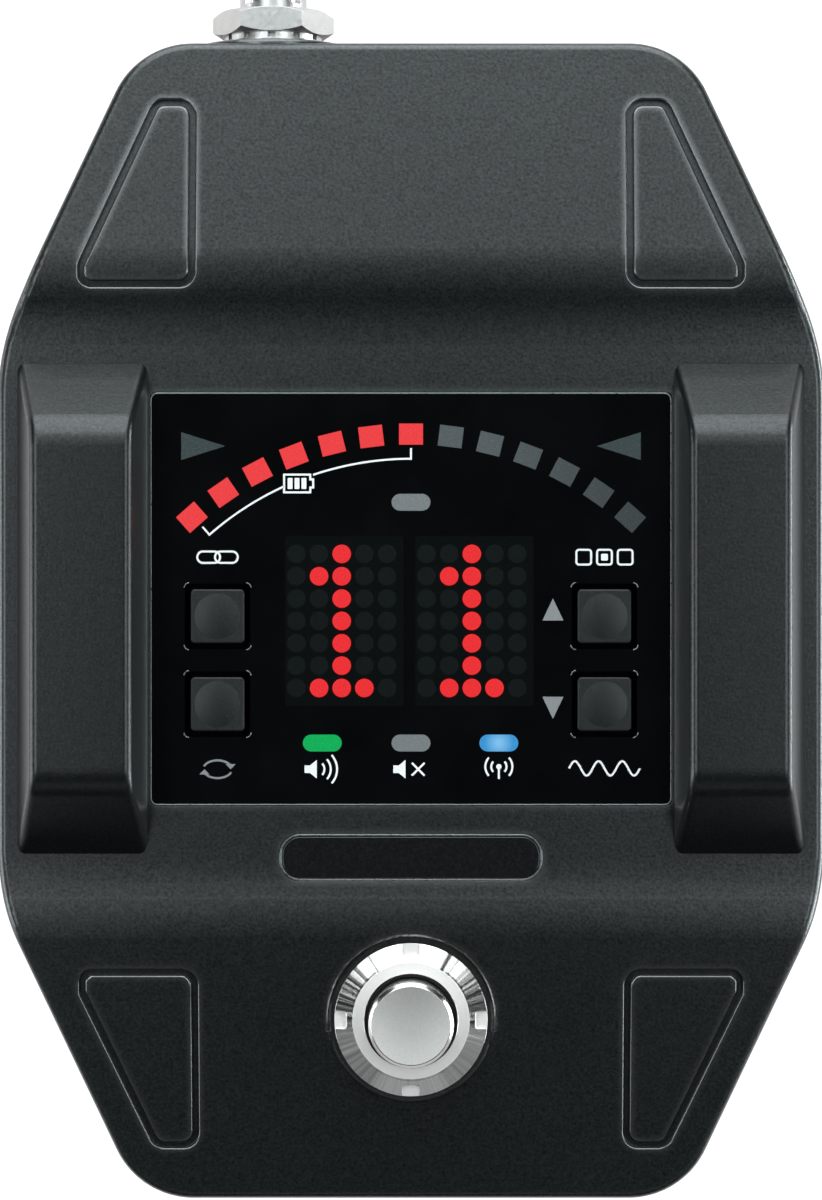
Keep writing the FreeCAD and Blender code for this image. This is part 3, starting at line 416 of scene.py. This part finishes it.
def satin_nickel():
    """Fine-blasted nickel on top of the footswitch cap, polished round its side."""
    look = Look("satin_nickel", Metallic=1.0)
    grain = look.noise(0.16, 3.0, 0.7)
    look.link(look.ramp(grain, (0.3, (0.60, 0.575, 0.56)), (0.7, (0.72, 0.69, 0.67))), "Base Color")
    facing = look.node("ShaderNodeNewGeometry").outputs["Normal"]
    level = look.node("ShaderNodeSeparateXYZ", Vector=facing).outputs["Z"]
    blasted = look.between(grain, 0.40, 0.48)
    polished = look.between(grain, 0.14, 0.20)
    look.link(look.blended(look.between(level, 0.0, 1.0, 0.93, 0.98), polished, blasted), "Roughness")
    look.link(look.relief(grain, 0.003, look.rounding(0.05)), "Normal")
    return look.material


def circuit_board():
    """Green solder mask with faint copper runs under it."""
    look = Look("circuit_board")
    runs = look.cells(1.8)
    look.link(look.ramp(runs, (0.30, (0.010, 0.075, 0.035)), (0.42, (0.020, 0.130, 0.060))), "Base Color")
    look.link(look.between(look.noise(1.0), 0.25, 0.40), "Roughness")
    look.link(look.relief(runs, 0.02), "Normal")
    return look.material


def moulded(name, colour, rough):
    """Plain moulded plastic or foam with a fine grain."""
    look = Look(name)
    grain = look.noise(0.3, 3.0)
    low = [0.7 * c for c in colour]
    look.link(look.ramp(grain, (0.3, low), (0.7, colour)), "Base Color")
    look.link(look.between(grain, rough - 0.06, rough + 0.06), "Roughness")
    look.link(look.relief(grain, 0.01), "Normal")
    return look.material


def centre_of(node):
    """Centre of a node's box."""
    low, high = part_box(node)
    return (low + high) / 2


switch_centre = centre_of("footswitch_dress_nut")
radio_lens = centre_of("radio_status_lens")
radio_lens.z = WINDOW_HIGH.z

LOOKS = {
    "coated_casting": powder_coat(),
    "rail_plastic": rail_plastic(),
    "base_steel": black_paint(),
    "pad_rubber": pad_rubber(),
    "gasket_foam": moulded("gasket_foam", (0.02, 0.02, 0.02), 0.85),
    "zinc_steel": nickel("zinc_steel", (0.50, 0.50, 0.49), 0.38),
    "circuit_board": circuit_board(),
    "nameplate_black": moulded("nameplate_black", (0.0075, 0.0080, 0.0085), 0.16),
    "window_black": window_black(),
    "matrix_black": moulded("matrix_black", (0.010, 0.010, 0.012), 0.3),
    "lamp_white": moulded("lamp_white", (0.7, 0.7, 0.66), 0.3),
    "chip_black": moulded("chip_black", (0.02, 0.02, 0.021), 0.5),
    "insulator_black": moulded("insulator_black", (0.015, 0.015, 0.016), 0.45),
    "polished_nickel": turned_nickel(switch_centre),
    "satin_nickel": satin_nickel(),
    "contact_brass": nickel("contact_brass", (0.72, 0.52, 0.24), 0.25),
    "lens_red": lamp("lens_red", (0.020, 0.001, 0.001), (0.855, 0.050, 0.056), 1.0),
    "lens_grey": lamp("lens_grey", (0.175, 0.186, 0.190), (0, 0, 0), 0.0),
    "lens_dark": lamp("lens_dark", (0.040, 0.053, 0.054), (0, 0, 0), 0.0),
    "lens_green": lamp("lens_green", (0.001, 0.040, 0.012), (0.001, 0.385, 0.085), 1.0),
    "lens_blue": lamp("lens_blue", (0.008, 0.030, 0.060), (0.035, 0.270, 0.590), 1.0,
                      (0.200, 0.490, 0.780), [radio_lens], 1.7),
    "button_black": button_black(),
}
JACK_NICKEL = nickel("jack_nickel", (0.50, 0.485, 0.475), 0.34, 0.0004)
INK_WHITE = print_ink("ink_white", (0.82, 0.82, 0.82))
INK_GREY = print_ink("ink_grey", (0.22, 0.225, 0.23))
INK_BLOCK = print_ink("ink_block", (0.0030, 0.0040, 0.0040), 0.12)
INK_DOT = print_ink("ink_dot", (0.0070, 0.0088, 0.0088), 0.12)
# Dark red print round each lit dot: painted glow of the lamp, not a lamp itself.
PAINTED_DOT_GLOW = print_ink("painted_dot_glow", (0.030, 0.0016, 0.0016), 0.12)
DARK_BAR = unlit_bars()
DOT_RED = lamp("dot_red", (0.020, 0.001, 0.001), (0.840, 0.026, 0.032), 1.0)
# Near-black nickel for the footswitch bushing.
DARK_NICKEL = nickel("dark_nickel", (0.06, 0.06, 0.06), 0.35)
# Metal for thin lines that paint highlights along edges.
EDGE_HIGHLIGHT_METAL = nickel("painted_edge_highlight", (0.30, 0.31, 0.31), 0.30)

for subpart in frame["record"]["subparts"]:
    cad_node = frame["nodes"][subpart["node"]]
    cad_node.data.materials.clear()
    look = LOOKS[subpart["material_slot"]]
    if subpart["node"].startswith("output_jack") and subpart["material_slot"] == "polished_nickel":
        look = JACK_NICKEL
    elif subpart["node"] == "unlit_bar_lenses":
        look = DARK_BAR
    elif subpart["node"] == "footswitch_bushing":
        look = DARK_NICKEL
    cad_node.data.materials.append(look)


# ---------------------------------------------------------------- thin shapes on the window

# How far a corner of a stroke may reach out: the least cosine of its half turn.
MITRE_LIMIT = 0.4


def arc(x, y, radius, start, end, count=24):
    """Points along an arc, in degrees from +X."""
    angles = [math.radians(start + (end - start) * i / count) for i in range(count + 1)]
    return [(x + radius * math.cos(a), y + radius * math.sin(a)) for a in angles]


def rounded_rectangle(x, y, width, height, radius, count=6):
    """Closed outline of a rectangle with round corners."""
    points = []
    for quarter, (i, j) in enumerate(((1, 1), (-1, 1), (-1, -1), (1, -1))):
        corner_x = x + i * (width / 2 - radius)
        corner_y = y + j * (height / 2 - radius)
        points += arc(corner_x, corner_y, radius, 90 * quarter, 90 * quarter + 90, count)
    return points


def add_stroke(mesh, points, width, foot, top, closed=False):
    """A flat line of even width along the points, with square ends."""
    count = len(points)
    rails = []
    for i, point in enumerate(points):
        here = Vector(point)
        before = Vector(points[i - 1]) if i or closed else None
        after = Vector(points[(i + 1) % count]) if i < count - 1 or closed else None
        into = (here - before).normalized() if before else (after - here).normalized()
        out = (after - here).normalized() if after else into
        along = (into + out).normalized()
        side = Vector((-along.y, along.x))
        reach = width / 2 / max(side.dot(Vector((-into.y, into.x))), MITRE_LIMIT)
        corners = []
        for z in (top, foot):
            for sign in (1, -1):
                edge = here + side * reach * sign
                corners.append(mesh.verts.new((edge.x * MM, edge.y * MM, z * MM)))
        rails.append(corners)
    for i in range(count if closed else count - 1):
        a, b = rails[i], rails[(i + 1) % count]
        mesh.faces.new((a[0], a[1], b[1], b[0]))
        mesh.faces.new((a[3], a[2], b[2], b[3]))
        mesh.faces.new((a[2], a[0], b[0], b[2]))
        mesh.faces.new((a[1], a[3], b[3], b[1]))
    if not closed:
        for a in (rails[0], rails[-1]):
            mesh.faces.new((a[0], a[2], a[3], a[1]))


def add_plate(mesh, outline, foot, top):
    """A thin plate on a closed outline."""
    upper = [mesh.verts.new((x * MM, y * MM, top * MM)) for x, y in outline]
    lower = [mesh.verts.new((x * MM, y * MM, foot * MM)) for x, y in outline]
    mesh.faces.new(upper)
    mesh.faces.new(lower[::-1])
    for i in range(len(outline)):
        j = (i + 1) % len(outline)
        mesh.faces.new((upper[j], upper[i], lower[i], lower[j]))


def add_dot(mesh, x, y, radius, foot, top, segments=28):
    """A round dot with a slightly crowned face."""
    rings = []
    for r, z in ((radius, foot), (radius, top - 0.6 * LAYER), (0.9 * radius, top)):
        ring = []
        for i in range(segments):
            angle = 2 * math.pi * i / segments
            place = (x + r * math.cos(angle), y + r * math.sin(angle), z)
            ring.append(mesh.verts.new([c * MM for c in place]))
        rings.append(ring)
    for lower, upper in zip(rings, rings[1:]):
        for i in range(segments):
            j = (i + 1) % segments
            mesh.faces.new((lower[i], lower[j], upper[j], upper[i]))
    mesh.faces.new(rings[-1])
    mesh.faces.new(rings[0][::-1])


def piece(name, mesh, material, body="root"):
    """Turns a finished bmesh into an object that rides on a body."""
    bmesh.ops.recalc_face_normals(mesh, faces=mesh.faces)
    data = bpy.data.meshes.new(name)
    mesh.to_mesh(data)
    mesh.free()
    made = bpy.data.objects.new(name, data)
    bpy.context.scene.collection.objects.link(made)
    data.materials.append(material)
    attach(made, body)


# ---------------------------------------------------------------- the digits


def digit_pieces():
    """Two dot blocks, each one showing a one."""
    block, unlit, lit, glow_halo = (bmesh.new() for _ in range(4))
    for node in ("left_digit_matrix", "right_digit_matrix"):
        low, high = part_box(node)
        centre = (low + high) / 2 / MM
        size = (high - low) / MM
        outline = rounded_rectangle(centre.x, centre.y, size.x, size.y, 0.3)
        add_plate(block, outline, PRINT_FOOT, BLOCK_TOP)
        border = rounded_rectangle(centre.x, centre.y, size.x - BLOCK_INSET, size.y - BLOCK_INSET, 0.2)
        add_stroke(block, border, BLOCK_LINE, WINDOW_TOP, BORDER_TOP, True)
        for row, cells in enumerate(DIGIT_ONE):
            for column, cell in enumerate(cells):
                x = centre.x + DOT_SHIFT + (column - 2) * DOT_PITCH_X
                y = centre.y + (3 - row) * DOT_PITCH_Y
                if cell == "#":
                    # Painted red glow round the lit dot.
                    add_dot(glow_halo, x, y, DOT_R + HALO_WIDTH, PRINT_FOOT, HALO_TOP)
                    add_dot(lit, x, y, DOT_R, PRINT_FOOT, LIT_TOP)
                else:
                    add_dot(unlit, x, y, DOT_R, PRINT_FOOT, UNLIT_TOP)
    piece("digit_blocks", block, INK_BLOCK)
    piece("digit_unlit_dots", unlit, INK_DOT)
    piece("digit_dot_painted_glow", glow_halo, PAINTED_DOT_GLOW)
    piece("digit_lit_dots", lit, DOT_RED)


digit_pieces()


# ---------------------------------------------------------------- white and grey print

STROKE = 0.24
PRINT_TOP = WINDOW_TOP + LAYER

# The meter's bars stand on an arc about a point below them; the bracket and the battery follow it.
METER_R = 40.32
METER_X = (WINDOW_LOW.x + WINDOW_HIGH.x) / 2 / MM
METER_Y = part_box("lit_bar_lenses")[1].y / MM - METER_R
BRACKET_R = 36.15
BRACKET_TICK = 1.25
BRACKET_LINE = 0.23
BRACKET_LEFT = (131.3, 114.6)
BRACKET_RIGHT = (108.7, 90.0)

# The battery sign's place on the arc, its case, end contact, and the pitch and size of its bars.
BATTERY_R = 35.85
BATTERY_DEG = 112.07
BATTERY_CASE = (3.1, 2.1)
BATTERY_NUB = (0.34, 0.48)
BATTERY_BAR_PITCH = 0.82
BATTERY_BAR_SHIFT = -0.02
BATTERY_BAR = (0.58, 1.3)

# The arrows beside the right-hand buttons: gap from the button's middle, half width, height, and
# the foot of the upward and of the downward one.
ARROW_GAP = 6.1
ARROW_HALF = 1.25
ARROW_HEIGHT = 2.62
ARROW_FEET = (-0.5, 0.88)

# Gaps between a button or lamp and its sign.
LABEL_GAP = 7.0
CYCLE_DROP = 0.7
WAVE_DROP = 0.6
LAMP_GAP = 3.1


def meter_bracket(mesh):
    """The line under the lit half of the meter, with a battery sign in a gap."""
    left = arc(METER_X, METER_Y, BRACKET_R, *BRACKET_LEFT)
    right = arc(METER_X, METER_Y, BRACKET_R, *BRACKET_RIGHT)
    tick_r = BRACKET_R + BRACKET_TICK
    left.insert(0, arc(METER_X, METER_Y, tick_r, BRACKET_LEFT[0], BRACKET_LEFT[0], 1)[0])
    right.append((METER_X, METER_Y + tick_r))
    for points in (left, right):
        add_stroke(mesh, points, BRACKET_LINE, PRINT_FOOT, PRINT_TOP)


def battery_sign(mesh):
    """A small battery: case, three charge bars and the end contact."""
    x, y = arc(METER_X, METER_Y, BATTERY_R, BATTERY_DEG, BATTERY_DEG, 1)[0]
    width, height = BATTERY_CASE
    corner_x = x + width / 2
    nub_x, nub = corner_x + BATTERY_NUB[0], BATTERY_NUB[1]
    outline = [(x - width / 2, y - height / 2), (corner_x, y - height / 2), (corner_x, y - nub),
               (nub_x, y - nub), (nub_x, y + nub), (corner_x, y + nub),
               (corner_x, y + height / 2), (x - width / 2, y + height / 2)]
    add_stroke(mesh, outline, STROKE, PRINT_FOOT, PRINT_TOP, True)
    for k in (-1, 0, 1):
        bar = rounded_rectangle(x + BATTERY_BAR_PITCH * k + BATTERY_BAR_SHIFT, y, *BATTERY_BAR, 0.06, 2)
        add_plate(mesh, bar, PRINT_FOOT, PRINT_TOP)


def shifted(points, x, y):
    return [(px + x, py + y) for px, py in points]


def chain_sign(mesh, x, y):
    """Two joined links."""
    half_pitch, length, width, radius = 1.05, 2.7, 1.35, 0.67
    for k in (-1, 1):
        link = rounded_rectangle(x + half_pitch * k, y, length, width, radius)
        add_stroke(mesh, link, STROKE, PRINT_FOOT, PRINT_TOP + 0.1 * LAYER * k, True)


def cycle_sign(mesh, x, y):
    """Two arrows that chase each other round."""
    half_width, half_height, start, end = 1.7, 1.05, 28, 160
    for turn in (0, 180):
        bow = [(half_width * px, half_height * py) for px, py in arc(0, 0, 1.0, turn + start, turn + end)]
        add_stroke(mesh, shifted(bow, x, y), STROKE, PRINT_FOOT, PRINT_TOP)
        sign = 1 if turn == 0 else -1
        head = [(1.55, 0.0), (0.95, 0.62), (2.15, 0.62)]
        head = [(sign * px, sign * py) for px, py in head]
        add_plate(mesh, shifted(head, x, y), PRINT_FOOT, PRINT_TOP + 0.1 * LAYER)


def group_sign(mesh, x, y):
    """Three boxes in a row, the middle one with a filled square."""
    pitch, side, filled = 2.45, 1.75, 0.8
    for k in (-1, 0, 1):
        box = rounded_rectangle(x + pitch * k, y, side, side, 0.3, 3)
        add_stroke(mesh, box, STROKE, PRINT_FOOT, PRINT_TOP, True)
        if k == 0:
            add_plate(mesh, rounded_rectangle(x, y, filled, filled, 0.1, 2), PRINT_FOOT, PRINT_TOP)


def wave_sign(mesh, x, y):
    """Three periods of a wave."""
    count = 72
    reach = 4.2
    swing = 0.85
    turns = 3
    points = [(-reach + 2 * reach * i / count, swing * math.sin(2 * math.pi * turns * i / count))
              for i in range(count + 1)]
    add_stroke(mesh, shifted(points, x, y), STROKE, PRINT_FOOT, PRINT_TOP)


def speaker(mesh, x, y):
    """The body of a loudspeaker sign."""
    outline = [(-2.1, -0.45), (-1.45, -0.45), (-0.65, -1.1), (-0.65, 1.1), (-1.45, 0.45), (-2.1, 0.45)]
    add_plate(mesh, shifted(outline, x, y), PRINT_FOOT, PRINT_TOP)


def sound_sign(mesh, x, y):
    """A loudspeaker with sound waves."""
    speaker(mesh, x, y)
    for radius in (1.0, 1.75, 2.5):
        waves = arc(-0.75, 0, radius, -42, 42, 12)
        add_stroke(mesh, shifted(waves, x, y), STROKE, PRINT_FOOT, PRINT_TOP)


def silent_sign(mesh, x, y):
    """A loudspeaker that is crossed out."""
    speaker(mesh, x, y)
    for k in (-1, 1):
        line = [(0.1, -0.75 * k), (1.6, 0.75 * k)]
        add_stroke(mesh, shifted(line, x, y), STROKE, PRINT_FOOT, PRINT_TOP + 0.05 * LAYER * k)


def radio_sign(mesh, x, y):
    """A mast with waves on both sides."""
    add_stroke(mesh, shifted([(0, -1.15), (0, 0.1)], x, y), STROKE, PRINT_FOOT, PRINT_TOP)
    add_dot(mesh, x, y + 0.3, 0.32, PRINT_FOOT, PRINT_TOP + 0.1 * LAYER, 16)
    for side in (0, 180):
        for radius in (0.9, 1.6):
            waves = arc(0, 0.3, radius, side - 42, side + 42, 12)
            add_stroke(mesh, shifted(waves, x, y), STROKE, PRINT_FOOT, PRINT_TOP)


def window_print():
    """Everything printed white or grey on the window."""
    white, grey = bmesh.new(), bmesh.new()
    meter_bracket(white)
    battery_sign(white)
    link, mode, group, channel = (centre_of(name + "_button") / MM for name in BUTTONS)
    chain_sign(white, link.x, link.y + LABEL_GAP)
    group_sign(white, group.x, group.y + LABEL_GAP)
    cycle_sign(grey, mode.x, mode.y - LABEL_GAP - CYCLE_DROP)
    wave_sign(white, channel.x, channel.y - LABEL_GAP - WAVE_DROP)
    for lamp_name, sign in (("audio", sound_sign), ("mute", silent_sign), ("radio", radio_sign)):
        centre = centre_of(lamp_name + "_status_lens") / MM
        sign(white, centre.x, centre.y - LAMP_GAP)
    for centre, up, foot in ((group, 1, ARROW_FEET[0]), (channel, -1, ARROW_FEET[1])):
        x, foot_y = centre.x - ARROW_GAP, centre.y + foot
        arrow = [(x - ARROW_HALF, foot_y), (x + ARROW_HALF, foot_y), (x, foot_y + up * ARROW_HEIGHT)]
        add_plate(grey, arrow, PRINT_FOOT, PRINT_TOP)
    piece("window_print_white", white, INK_WHITE)
    piece("window_print_grey", grey, INK_GREY)


window_print()


# ---------------------------------------------------------------- painted edge highlights

# Painted highlight lines round the window: inset, corner and line; at the buttons' holes: half
# side, corner and line; round the nameplate: gap on both sides together, corner and line.
WINDOW_RIM = (0.1, 0.8, 0.14)
BUTTON_CORNER = (3.35, 0.62, 0.12)
PLATE_RIM = (0.3, 2.35, 0.2)


def painted_edge_highlights():
    """Painted highlights: thin metal lines round the window, at the buttons' holes and the nameplate."""
    rim, corner_highlights, plate_rim = (bmesh.new() for _ in range(3))
    size = (WINDOW_HIGH - WINDOW_LOW) / MM
    centre = (WINDOW_HIGH + WINDOW_LOW) / 2 / MM
    inset, radius, line = WINDOW_RIM
    outline = rounded_rectangle(centre.x, centre.y, size.x - inset, size.y - inset, radius, 8)
    add_stroke(rim, outline, line, PRINT_FOOT, WINDOW_TOP + 2 * LAYER, True)
    half, radius, line = BUTTON_CORNER
    for name in BUTTONS:
        spot = centre_of(name + "_button") / MM
        for quarter, (i, j) in enumerate(((1, 1), (-1, 1), (-1, -1), (1, -1))):
            start = 90 * quarter
            corner = arc(spot.x + i * half, spot.y + j * half, radius, start + 5, start + 85, 8)
            add_stroke(corner_highlights, corner, line, PRINT_FOOT, WINDOW_TOP + 2 * LAYER)
    low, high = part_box("blank_nameplate")
    middle = (low + high) / 2 / MM
    span = (high - low) / MM
    gap, radius, line = PLATE_RIM
    outline = rounded_rectangle(middle.x, middle.y, span.x + gap, span.y + gap, radius, 12)
    add_stroke(plate_rim, outline, line, low.z / MM, high.z / MM + LAYER, True)
    piece("window_rim_highlight", rim, EDGE_HIGHLIGHT_METAL)
    piece("button_hole_corner_highlights", corner_highlights, EDGE_HIGHLIGHT_METAL)
    piece("nameplate_rim_highlight", plate_rim, EDGE_HIGHLIGHT_METAL)


painted_edge_highlights()


# ---------------------------------------------------------------- studio


def studio_floor():
    """Pale sheet on a light table: it glows round the object and fades further out."""
    mesh = bmesh.new()
    bmesh.ops.create_grid(mesh, x_segments=8, y_segments=8, size=FLOOR_SIZE)
    data = bpy.data.meshes.new("studio_floor")
    mesh.to_mesh(data)
    mesh.free()
    floor = bpy.data.objects.new("studio_floor", data)
    bpy.context.scene.collection.objects.link(floor)
    look = Look("floor_paper", Emission_Strength=1.0)
    fibre = look.noise(2.0, 4.0)
    look.link(look.ramp(fibre, (0.3, (0.18, 0.18, 0.18)), (0.7, (0.22, 0.22, 0.22))), "Base Color")
    look.link(look.between(fibre, 0.85, 0.95), "Roughness")
    spread = look.node("ShaderNodeVectorMath")
    spread.operation = "LENGTH"
    look.tree.links.new(look.place, spread.inputs[0])
    glow = look.between(spread.outputs["Value"], FLOOR_GLOW, 0.0, GLOW_REACH[0], GLOW_REACH[1])
    look.link(look.ramp(glow, (0.0, (0.0, 0.0, 0.0)), (1.0, (1.0, 1.0, 1.0))), "Emission Color")
    data.materials.append(look.material)


def softbox(name, lower, upper, width, radiance):
    """A rectangular soft light between the middles of its lower and upper edges, facing the object."""
    lower, upper = Vector(lower), Vector(upper)
    data = bpy.data.lights.new(name, "AREA")
    data.shape = "RECTANGLE"
    data.size = width
    data.size_y = (upper - lower).length
    data.energy = radiance * math.pi * data.size * data.size_y
    data.color = LIGHT_TINT
    up = (upper - lower).normalized()
    middle = (lower + upper) / 2
    side = up.cross(middle).normalized()
    back = side.cross(up)
    if back.dot(middle) < 0:
        side, back = -side, -back
    made = bpy.data.objects.new(name, data)
    made.matrix_world = Matrix((side, up, back)).transposed().to_4x4()
    made.location = middle
    made.visible_camera = False
    bpy.context.scene.collection.objects.link(made)


def studio_world():
    """Dim surroundings, a little paler low down."""
    world = bpy.data.worlds.new("studio_world")
    world.use_nodes = True
    bpy.context.scene.world = world
    tree = world.node_tree
    direction = tree.nodes.new("ShaderNodeTexCoord")
    parts = tree.nodes.new("ShaderNodeSeparateXYZ")
    tree.links.new(direction.outputs["Generated"], parts.inputs[0])
    height = tree.nodes.new("ShaderNodeValToRGB")
    for element, value in zip(height.color_ramp.elements, WORLD_TONES):
        element.color = (value, value, value, 1)
    tree.links.new(parts.outputs["Z"], height.inputs["Fac"])
    tree.links.new(height.outputs["Color"], tree.nodes["Background"].inputs["Color"])


def studio_camera():
    """Camera straight above, with the rear of the object at the top of the picture."""
    data = bpy.data.cameras.new("camera")
    data.lens = CAMERA_LENS
    data.sensor_width = CAMERA_SENSOR
    data.clip_start = CAMERA_CLIP
    made = bpy.data.objects.new("camera", data)
    made.location = (0.0, CAMERA_Y, CAMERA_HEIGHT)
    bpy.context.scene.collection.objects.link(made)
    bpy.context.scene.camera = made


studio_floor()
studio_world()
studio_camera()
for box_name, box_values in SOFTBOXES.items():
    softbox(box_name, *box_values)
bpy.context.scene.view_settings.view_transform = "Standard"
